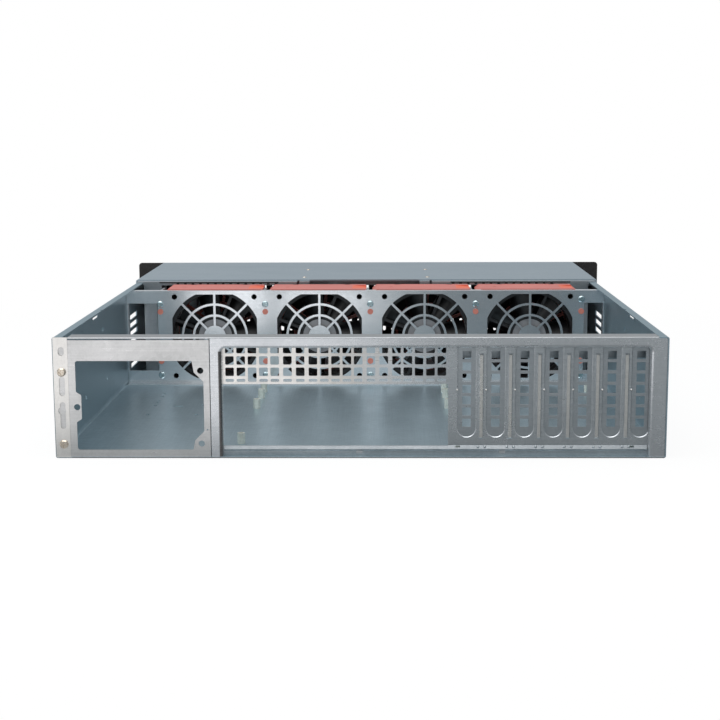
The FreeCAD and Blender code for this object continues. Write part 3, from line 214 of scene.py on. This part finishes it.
# %% Galvanised finishes
CRYSTAL_SCALE = 330.0       # crystals per metre
CLOUD_SCALE = 22.0
SPECK_SCALE = 900.0
ROLLING_LINES = 1100.0
LONG_WAY = 14.0
CRYSTAL_SHARE = 0.16
CLOUD_SHARE = 0.9
SPECK_SHARE = 0.35
LINE_SHARE = 0.5
MIDDLE = (CRYSTAL_SHARE + CLOUD_SHARE + SPECK_SHARE + LINE_SHARE) / 2
# Painted deep shade: the near-black brown at the start of the ramp.
DEEP_SHADE_COLOUR = (0.085, 0.070, 0.064)
# Painted sheen: the two bright greys at the end of the ramp.
SHEEN_DARK = (0.62, 0.60, 0.57)
SHEEN_LIGHT = (0.90, 0.875, 0.84)
DEEP_SHADE_TO = 0.15              # the ramp holds a painted deep shade first, then the finish's own two greys, and then the painted sheen
BASE_FROM = 0.34            # and then the bright skin
BASE_TO = 0.58
SHEEN_FROM = 0.72
SHEEN_TO = 0.96
# How far painted shade lowers the level.
PAINTED_SHADE_SHARE = 0.6


def galvanised(name, dark, light, roughness, contrast=1.0, lines=(0, 1, 1), metal=0.88, bump=0.08,
               painted_sheen=None, painted_shade=None, painted_deep_shade=None):
    """Zinc between two greys. Each of the last three is a mask: the first paints a brighter sheen,
    the second paints shade in the darker grey, the third paints a near-black deep shade."""
    finish = Finish(name, Metallic=metal)
    crystals = finish.cells(CRYSTAL_SCALE)
    clouds = finish.noise(CLOUD_SCALE, 4.0)
    specks = finish.noise(SPECK_SCALE, 2.0)
    line_scales = [ROLLING_LINES if across else LONG_WAY for across in lines]
    rolled = finish.stretched_noise(line_scales, 2.0)
    pattern = (CRYSTAL_SHARE * crystals + CLOUD_SHARE * clouds + SPECK_SHARE * specks
               + LINE_SHARE * rolled - MIDDLE)
    level = (0.5 + contrast * pattern).clamped()
    # Painted shade: the mask pulls the level towards the darker grey.
    if painted_shade:
        level = (level - PAINTED_SHADE_SHARE * painted_shade(finish)).clamped()
    place = BASE_FROM + (BASE_TO - BASE_FROM) * level
    # Painted sheen: the mask lifts the place to the bright greys.
    if painted_sheen:
        place = place + (SHEEN_FROM - BASE_FROM) * painted_sheen(finish)
    # Painted deep shade: the mask darkens the place towards the near-black brown.
    if painted_deep_shade:
        place = place * (1.0 - painted_deep_shade(finish))
    finish.feed(
        Base_Color=finish.ramp(place, (0.0, DEEP_SHADE_COLOUR), (DEEP_SHADE_TO, DEEP_SHADE_COLOUR), (BASE_FROM, dark),
                               (BASE_TO, light), (SHEEN_FROM, SHEEN_DARK), (SHEEN_TO, SHEEN_LIGHT)),
        Roughness=roughness + 0.16 * (0.5 - level) + 0.05 * (specks - 0.5),
        Normal=finish.bump(specks + 0.5 * rolled + 0.4 * clouds, bump, 0.0003),
    )
    return finish.material


# %% [markdown]
# ## Painted shade and sheen on the zinc
#
# The same zinc is painted lighter or darker where light and shade fall on it. A near-black painted
# shade runs along the tray's foot and left fold and the power-supply plate's left edge, and darkens
# the fold of the window's rolled edge. The corner flange, the pressed ribs and the vent grid get a
# painted sheen, and the walls, the top flange and the foot of the slot panel get painted shade.
# Separate materials would need the solids cut into faces. A mask does it on the whole solid: it is
# a product of steps along X, Y and Z, placed from the solids' own boxes.

# %% Measures for the masks
tray_low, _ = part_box("base_tray")
plate_low, plate_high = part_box("psu_plate")
_, frame_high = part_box("rear_frame")
panel_low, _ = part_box("io_slot_panel")
SHEET = 0.001               # metres, as all of these
REAR_DEPTH = 1.4 * SHEET    # what still belongs to the rear face
TOP_DEPTH = 0.7 * SHEET     # what still belongs to the top flange
EDGE = 0.0006               # width of a painted dark line along an edge
FLANGE_WIDTH = 0.0112       # the tray's corner flange beside the power-supply plate
WALLS_FROM = 0.004          # height at which the walls leave the floor
POST_WIDTH = 0.0062         # power-supply plate to the window's rolled edge
ROLL_WIDTH = 0.0022
ROLL_DROP = 0.010           # frame's top to the roll's upper end
FOOT_HEIGHT = 0.0075        # painted shade along the foot of the panel
PRESSED = 0.0008            # front of the ribs to halfway down their flanks
RIBS_FROM = 0.012
GRID_FOOT = 0.050           # height at which the vent grid begins
GRID_FADE = 0.012           # across the grid, where its painted sheen has half faded
GRID_FADE_SOFT = 0.045
print("rear face at y =", round(tray_low.y, 4), "and top flange at z =", round(frame_high.z, 4))

# %% Masks on the tray and the power-supply plate
# Painted sheen on the tray's corner flange beside the power-supply plate.
def corner_flange(finish):
    return ((1.0 - finish.beyond("Y", tray_low.y + REAR_DEPTH))
            * (1.0 - finish.beyond("X", tray_low.x + FLANGE_WIDTH)))


# Painted shade on the tray's walls above its floor.
def tray_walls(finish):
    return (finish.beyond("Z", tray_low.z + WALLS_FROM, 0.002)
            * finish.beyond("Y", tray_low.y + REAR_DEPTH))


# Painted shade: a contact shadow along the foot of the rear face and a dark line down its left
# fold.
def tray_edges(finish):
    rear_face = 1.0 - finish.beyond("Y", tray_low.y + REAR_DEPTH)
    edges = ((1.0 - finish.beyond("Z", tray_low.z + EDGE))
             + (1.0 - finish.beyond("X", tray_low.x + EDGE)))
    return 0.8 * (edges.clamped() * rear_face)


# Painted shade: a dark line along the power-supply plate's left edge.
def plate_edge(finish):
    return 0.7 * (1.0 - finish.beyond("X", plate_low.x + EDGE))


# %% Masks on the rear frame and the slot panel
# Painted shade on the frame's up-facing top flange.
def frame_top(finish):
    return finish.beyond("Z", frame_high.z - TOP_DEPTH)


def frame_folds(finish):
    """Painted shade in the fold of the window's rolled edge, and a trace of it on the top flange.
    """
    roll = plate_high.x + POST_WIDTH
    rolled_edge = (finish.between("X", roll, roll + ROLL_WIDTH)
                   * (1.0 - finish.beyond("Z", frame_high.z - ROLL_DROP)))
    return 0.6 * rolled_edge + 0.15 * frame_top(finish)


# Painted shade along the foot of the slot panel, near the floor.
def panel_foot(finish):
    return 0.5 * (1.0 - finish.beyond("Z", panel_low.z + FOOT_HEIGHT))


def panel_bright(finish):
    """Painted sheen on the pressed ribs, which stand proud of the panel, and on the punched vent
    grid, brightest at its far end."""
    ribs = ((1.0 - finish.beyond("Y", panel_low.y + PRESSED))
            * finish.beyond("Z", panel_low.z + RIBS_FROM))
    grid = ((1.0 - finish.beyond("X", GRID_FADE, GRID_FADE_SOFT))
            * finish.beyond("Z", GRID_FOOT))
    return (ribs + grid).clamped()


# %% Zinc for each kind of sheet
def names(*materials):
    return [material.name for material in materials]


zinc_bright = galvanised("galvanised_bright", (0.48, 0.48, 0.47), (0.70, 0.69, 0.685), 0.32,
                         contrast=1.2, painted_deep_shade=plate_edge)
zinc_sheet = galvanised("galvanised_sheet", (0.34, 0.37, 0.39), (0.56, 0.585, 0.605), 0.32)
zinc_frame = galvanised("galvanised_frame", (0.46, 0.48, 0.495), (0.79, 0.80, 0.82), 0.28,
                        contrast=0.7, bump=0.025, painted_shade=frame_top, painted_deep_shade=frame_folds)
zinc_panel = galvanised("galvanised_panel", (0.38, 0.41, 0.43), (0.70, 0.72, 0.735), 0.30,
                        bump=0.03, painted_shade=panel_foot, painted_sheen=panel_bright)
zinc_wall = galvanised("galvanised_wall", (0.70, 0.735, 0.76), (0.90, 0.925, 0.945), 0.17,
                       bump=0.02)
zinc_tray = galvanised("galvanised_tray", (0.27, 0.365, 0.415), (0.56, 0.69, 0.755), 0.32,
                       contrast=0.7, lines=(1, 0, 1), painted_sheen=corner_flange, painted_shade=tray_walls,
                       painted_deep_shade=tray_edges)
zinc_cover = galvanised("galvanised_cover", (0.31, 0.375, 0.42), (0.41, 0.475, 0.525), 0.46,
                        contrast=0.6)
label_foil = galvanised("label_foil", (0.29, 0.285, 0.295), (0.44, 0.43, 0.44), 0.42,
                        contrast=0.7, lines=(1, 0, 1), metal=0.6)
print("galvanised finishes", names(zinc_bright, zinc_sheet, zinc_frame, zinc_panel, zinc_wall,
                                   zinc_tray, zinc_cover, label_foil))

# %% [markdown]
# ## Screws and posts
#
# Small hardware is plated: brighter and warmer than the sheet, with turning marks around the
# head. Those marks are rings about each screw, but at this size a fine noise reads the same and
# needs no centre for each of them.

# %% Plated hardware
def plated(name, dark, light, roughness, metal=1.0):
    finish = Finish(name, Metallic=metal)
    tarnish = finish.noise(420.0, 3.0)
    turning = finish.noise(5200.0, 1.0)
    level = (0.8 * tarnish + 0.4 * turning - 0.1).clamped()
    finish.feed(
        Base_Color=finish.ramp(level, (0.2, dark), (0.8, light)),
        Roughness=roughness + 0.2 * (0.5 - tarnish),
        Normal=finish.bump(turning, 0.12, 0.0001),
    )
    return finish.material


plated_screw = plated("plated_screw", (0.48, 0.41, 0.33), (0.82, 0.74, 0.64), 0.28)
plated_blue = plated("plated_blue", (0.34, 0.46, 0.49), (0.70, 0.82, 0.84), 0.26)
plated_post = plated("plated_post", (0.60, 0.63, 0.56), (0.90, 0.92, 0.84), 0.22, metal=0.45)
print("plated finishes", names(plated_screw, plated_blue, plated_post))

# %% [markdown]
# ## Plastics and paint
#
# The fans are black with a slight gloss, the pegs orange-red, and the rack panel is powder coated,
# which is a fine orange-peel bump over a dull black. Clouds from the flow of the melt and the
# grain of the mould vary the colour and the roughness a little, because a plastic in one flat
# colour looks like a drawing of it.

# %% Moulded and coated finishes
def tones(dark, light):
    return (0.25, dark), (0.75, light)


def moulded(name, roughness, stops, grain_scale=1500.0, bump=0.2, depth=0.00015, gloss=0.5,
            own_colour=None):
    """Plastic or paint. The last mask moves a place to the upper half of the stops, which for the
    carriers leaves the painted sheen of the lower half.
    """
    finish = Finish(name, IOR=1.5, Specular_IOR_Level=gloss)
    flow = finish.noise(38.0, 3.0)
    grain = finish.noise(grain_scale, 2.0)
    level = (0.7 * flow + 0.4 * grain - 0.05).clamped()
    # Painted sheen: outside the mask a carrier stays in the salmon lower half of its stops.
    place = 0.5 * level + 0.5 * own_colour(finish) if own_colour else level
    finish.feed(
        Base_Color=finish.ramp(place, *stops),
        Roughness=roughness + 0.14 * (grain - 0.5) + 0.08 * (flow - 0.5),
        Normal=finish.bump(grain, bump, depth),
    )
    return finish.material


peg_plastic = moulded("peg_plastic", 0.5, tones((0.52, 0.16, 0.12), (0.66, 0.24, 0.18)))
fan_black = moulded("fan_black", 0.38, tones((0.010, 0.010, 0.011), (0.022, 0.021, 0.022)))
button_plastic = moulded("button_plastic", 0.34,
                         tones((0.030, 0.031, 0.034), (0.045, 0.046, 0.050)))
panel_coating = moulded("panel_powder_coat", 0.56,
                        tones((0.008, 0.007, 0.007), (0.016, 0.014, 0.013)),
                        grain_scale=2400.0, bump=0.45, depth=0.0002, gloss=0.32)
# A near-black finish for the lid seal.
seal_rubber = moulded("seal_rubber", 0.6, tones((0.012, 0.012, 0.013), (0.022, 0.022, 0.023)))
lamp_lens = moulded("lamp_lens", 0.16, tones((0.42, 0.50, 0.40), (0.60, 0.68, 0.56)), bump=0.05)
print("moulded finishes", names(peg_plastic, fan_black, button_plastic, panel_coating, seal_rubber,
                                lamp_lens))

# %% [markdown]
# ## Orange carriers
#
# The carriers are moulded in one orange-red plastic with a fine spark-eroded texture. The paler
# salmon of their tops seen at a low angle is a painted sheen in the colour itself, which covers the
# whole carrier except the finger scoop at one end, where the plastic's own orange is kept. The
# scoop's mask is placed from each carrier's own box, so each carrier has a finish.

# %% Finger scoops
SCOOP_LENGTH = 0.0126
SCOOP_FROM = 0.0125
SCOOP_TO = 0.0375
SCOOP_DEPTH = 0.0012
# Painted sheen: the first two stops are a salmon standing for grazing light; the last two are the
# plastic's orange.
CARRIER_SHEEN_AND_ORANGE = ((0.12, (0.47, 0.105, 0.085)), (0.38, (0.57, 0.155, 0.125)),
                 (0.62, (0.66, 0.085, 0.025)), (0.88, (0.74, 0.12, 0.04)))


def carrier_orange(name):
    low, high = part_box(name)

    def scoop(finish):
        return (finish.beyond("X", high.x - SCOOP_LENGTH) * finish.beyond("Z", high.z - SCOOP_DEPTH)
                * finish.between("Y", low.y + SCOOP_FROM, low.y + SCOOP_TO))

    return moulded("orange_" + name, 0.40, CARRIER_SHEEN_AND_ORANGE, own_colour=scoop)


# %% [markdown]
# ## Dress the solids
#
# Each solid is one part of one material, as in the real case, so it takes one finish. A table of
# names says which. What the table leaves out is plain folded sheet: slot covers, guides, braces
# and brackets.

# %% Give each solid its finish
FINISH_OF = {
    "base_tray": zinc_tray,
    "rear_frame": zinc_frame,
    "io_slot_panel": zinc_panel,
    "psu_plate": zinc_bright,
    "front_cover": zinc_cover,
    "front_panel": panel_coating,
    "slot_cover_screws": plated_screw,
    "psu_plate_screws": plated_screw,
    "fan_wall": zinc_wall,
    "fan_wall_screws": plated_blue,
    "front_panel_screws": plated_screw,
    "cover_rivets": plated_screw,
    "motherboard_standoffs": plated_post,
    "guide_pegs": peg_plastic,
    "power_button": button_plastic,
    "reset_button": button_plastic,
    "indicator_lamps": lamp_lens,
}
FINISH_OF_FAMILY = {
    "fan_frame": fan_black,
    "fan_rotor": fan_black,
    "lid_seal": seal_rubber,
}


def finish_of(name):
    family = name.rsplit("_", 1)[0]
    if family == "fan_carrier":
        return carrier_orange(name)
    return FINISH_OF.get(name) or FINISH_OF_FAMILY.get(family) or zinc_sheet


for name, solid in nodes.items():
    solid.data.materials.clear()
    solid.data.materials.append(finish_of(name))
print("dressed", len(nodes), "solids")

# %% [markdown]
# ## Hub labels
#
# Each fan has a bare foil label on its motor plate, the grey disc seen through the guard. It is a
# shallow turned form: a flat face, a fine pressed ring and a rolled rim. Spinning half of its
# section about the axis makes it in one step. The two ends of the section lie on the axis, where
# the spin leaves a vertex for every step, so doubles are merged before the faces are turned out.

# %% Fan labels
LABEL_RADIUS = 0.0150
LABEL_THICKNESS = 0.00014
LABEL_RING = (0.0118, 0.0122, 0.0126)
LABEL_STEPS = 72


def as_object(name, shape, material):
    """Ends a bmesh as an object at the origin, with its place in its mesh."""
    mesh = bpy.data.meshes.new(name)
    shape.to_mesh(mesh)
    shape.free()
    mesh.materials.append(material)
    made = bpy.data.objects.new(name, mesh)
    scene.collection.objects.link(made)
    return made


def turned_disc(name, profile, centre, material):
    """A closed profile of (radius, distance in front of the centre), spun about Y."""
    shape = bmesh.new()
    points = [shape.verts.new((radius, -front, 0.0)) for radius, front in profile]
    edges = [shape.edges.new(pair) for pair in zip(points, points[1:])]
    bmesh.ops.spin(shape, geom=points + edges, cent=(0.0, 0.0, 0.0), axis=(0.0, 1.0, 0.0),
                   dvec=(0.0, 0.0, 0.0), angle=2 * math.pi, steps=LABEL_STEPS, use_merge=True)
    bmesh.ops.remove_doubles(shape, verts=shape.verts, dist=1e-6)
    bmesh.ops.recalc_face_normals(shape, faces=shape.faces)
    bmesh.ops.translate(shape, verts=shape.verts, vec=centre)
    return as_object(name, shape, material)


ring_in, ring_middle, ring_out = LABEL_RING
thick = LABEL_THICKNESS
label_profile = [(0.0, thick), (ring_in, thick), (ring_middle, 0.5 * thick), (ring_out, thick),
                 (LABEL_RADIUS - thick, thick), (LABEL_RADIUS, 0.4 * thick), (LABEL_RADIUS, 0.0),
                 (0.0, 0.0)]
for number in range(1, 5):
    fan_low, fan_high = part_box(f"fan_frame_{number}")
    centre = ((fan_low.x + fan_high.x) / 2, fan_low.y, (fan_low.z + fan_high.z) / 2)
    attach(turned_disc(f"fan_label_{number}", label_profile, centre, label_foil), "case")
    print("fan label", number, "at", [round(value, 4) for value in centre])

# %% [markdown]
# ## The floor
#
# Steel shows its surroundings, so the studio is most of the finish. It stands on plain pale paper.
# The page round the object is white, but paper lit to full white would flood the steel with light.
# So the camera sees mostly plain white, with enough paper left beside the case for its shadow,
# and every other ray finds ordinary paper.

# %% Floor
FLOOR_SIZE = 12.0
FLOOR_GAP = 0.0004
PAGE_WHITE = 1.0
NEAR_SHARE = 0.90           # share of plain white in the floor beside the case
SHADOW_REACH = 0.75         # metres from the middle at which the floor is wholly white


def staged_sheet(name, low, high, level, material):
    """A flat sheet between two (x, y) corners, which belongs to the studio."""
    middle = Matrix.Translation(((low[0] + high[0]) / 2, (low[1] + high[1]) / 2, level))
    reach = Matrix.Diagonal(((high[0] - low[0]) / 2, (high[1] - low[1]) / 2, 1.0, 1.0))
    shape = bmesh.new()
    bmesh.ops.create_grid(shape, x_segments=1, y_segments=1, size=1.0, matrix=middle @ reach)
    made = as_object(name, shape, material)
    return made


def floor_paper():
    finish = Finish("floor_paper", Roughness=0.9, Base_Color=(0.88, 0.88, 0.88),
                    Specular_IOR_Level=0.2)
    seen = finish.node("LightPath", {}, output="Is Camera Ray")
    distance = finish.node("VectorMath", {"operation": "LENGTH"}, finish.place, output="Value")
    far = (distance * (1.0 / SHADOW_REACH)) ** 2.0
    share = (NEAR_SHARE + (1.0 - NEAR_SHARE) * far).clamped()
    glow = finish.node("Emission", {}, Color=(1.0, 1.0, 1.0), Strength=PAGE_WHITE)
    finish.show(finish.node("MixShader", {}, seen * share, finish.surface, glow))
    return finish.material


half = FLOOR_SIZE / 2
floor_z = cad_low.z - FLOOR_GAP
staged_sheet("floor", (-half, -half), (half, half), floor_z, floor_paper())
print("floor at z =", round(floor_z, 5))

# %% [markdown]
# ## The sky
#
# The same goes for the surround: the camera and glass find it at full white, and any other ray
# finds a grey-blue sky at about half strength, or the steel would be washed out.

# %% Sky
SKY_LEVEL = 0.55
SKY_TINT = (0.93, 0.97, 1.0)

world = bpy.data.worlds.new("studio")
world.use_nodes = True
scene.world = world
sky = Tree(world.node_tree, "OutputWorld")
dim_sky = sky.node("Background", {}, Color=SKY_TINT, Strength=SKY_LEVEL)
white_page = sky.node("Background", {}, Color=(1.0, 1.0, 1.0), Strength=PAGE_WHITE)
by_camera = sky.node("LightPath", {}, output="Is Camera Ray")
through_glass = sky.node("LightPath", {}, output="Is Transmission Ray")
sky.show(sky.node("MixShader", {}, (by_camera + through_glass).clamped(), dim_sky, white_page))
print("sky at", SKY_LEVEL)

# %% [markdown]
# ## Two lamps
#
# One wide softbox hangs over the case and gives the floor of the tray its even light. A small one
# at the left fills the inside of the walls, which the big one only grazes. Area lamps are used
# because their soft edges suit zinc, where a point lamp would leave hard dots.

# %% Lamps
def softbox(name, place, aim, size, power):
    lamp = bpy.data.lights.new(name, "AREA")
    lamp.shape = "RECTANGLE"
    lamp.size, lamp.size_y = size
    lamp.energy = power
    made = bpy.data.objects.new(name, lamp)
    made.location = place
    direction = Vector(aim) - Vector(place)
    made.rotation_euler = direction.to_track_quat("-Z", "Y").to_euler()
    scene.collection.objects.link(made)
    print(name, power, "W,", round(direction.length, 2), "m away")


softbox("lamp_overhead", (-0.3, -0.5, 1.9), (-0.1, -0.2, 0.0), (2.4, 2.0), 36.0)
softbox("lamp_left", (-1.5, -1.3, 0.9), (-0.1, -0.25, 0.05), (0.9, 0.9), 5.0)

# %% [markdown]
# ## A card for the steel to mirror
#
# The rear faces mirror the floor in front of the case. A glowing card lies there that only polished
# metal sees. Its glow is painted: bright at the left, darker towards the right, and with a painted
# shadow of the case close to it, and the steel repeats all of that. A brighter lamp could not do
# it, because it would light the paper and the plastics as well.

# %% Mirror card
CARD_LIFT = 0.0008
CARD_REACH = 3.0
CARD_BRIGHT = 1.32
CARD_DIM = 0.28
CARD_EDGE = (-0.070, 0.070)     # where the bright side ends and the dim side begins
SHADE_REACH = 0.13
BRIGHT_SHADE = 0.80             # share of each side's glow lost to the painted shadow against the case
DIM_SHADE = 0.35
CARD_TINT = ((0.0, (0.0, 0.0, 0.0)), (0.21, (0.192, 0.214, 0.226)), (1.0, (1.0, 1.0, 1.02)))


def card_glow():
    finish = Finish("card_glow", Base_Color=(0.0, 0.0, 0.0), Roughness=1.0, Specular_IOR_Level=0.0)
    bright = finish.node("MapRange", {"interpolation_type": "SMOOTHERSTEP"}, finish.along("X"),
                         *CARD_EDGE, 1.0, 0.0)
    # Painted shadow of the case: the glow falls off towards the rear face.
    distance = (cad_low.y - finish.along("Y")) * (1.0 / SHADE_REACH)
    shade = (1.0 + distance * distance) ** -1.0
    dim_share = CARD_DIM / CARD_BRIGHT
    dim_side = dim_share * (1.0 - DIM_SHADE * shade)
    bright_side = (1.0 - dim_share) * (1.0 - BRIGHT_SHADE * shade)
    finish.feed(Emission_Color=finish.ramp(dim_side + bright * bright_side, *CARD_TINT),
                Emission_Strength=CARD_BRIGHT)
    return finish.material


card = staged_sheet("mirror_card", (-CARD_REACH, -CARD_REACH), (CARD_REACH, cad_low.y),
                    floor_z + CARD_LIFT, card_glow())
card.visible_camera = False
card.visible_diffuse = False
card.visible_shadow = False
print("card from the case to y =", -CARD_REACH)

# %% [markdown]
# ## The camera
#
# The view is from a metre behind the case and a little above it, with a lens of about 72 mm. Its
# three axes are set from a pitch, a heading and a slight roll, because aiming an upright camera
# at a point would lose the roll.

# %% Camera
LENS = 72.14
SENSOR = 36.0
CAMERA_AT = Vector((0.0170, -1.2548, 0.2332))
PITCH = math.radians(-9.341)
HEADING = math.radians(0.960)
ROLL = math.radians(0.2134)

camera_data = bpy.data.cameras.new("camera")
camera_data.lens = LENS
camera_data.sensor_width = SENSOR
camera = bpy.data.objects.new("camera", camera_data)
upright = Matrix.Rotation(math.radians(90.0), 4, "X")
turn = (Matrix.Rotation(HEADING, 4, "Z") @ Matrix.Rotation(PITCH, 4, "X")
        @ Matrix.Rotation(ROLL, 4, "Y"))
camera.matrix_world = Matrix.Translation(CAMERA_AT) @ turn @ upright
scene.collection.objects.link(camera)
scene.camera = camera
scene.view_settings.view_transform = "Standard"
axes = (turn @ upright).to_3x3()
print("camera right", [round(v, 5) for v in axes.col[0]],
      "forward", [round(-v, 5) for v in axes.col[2]])
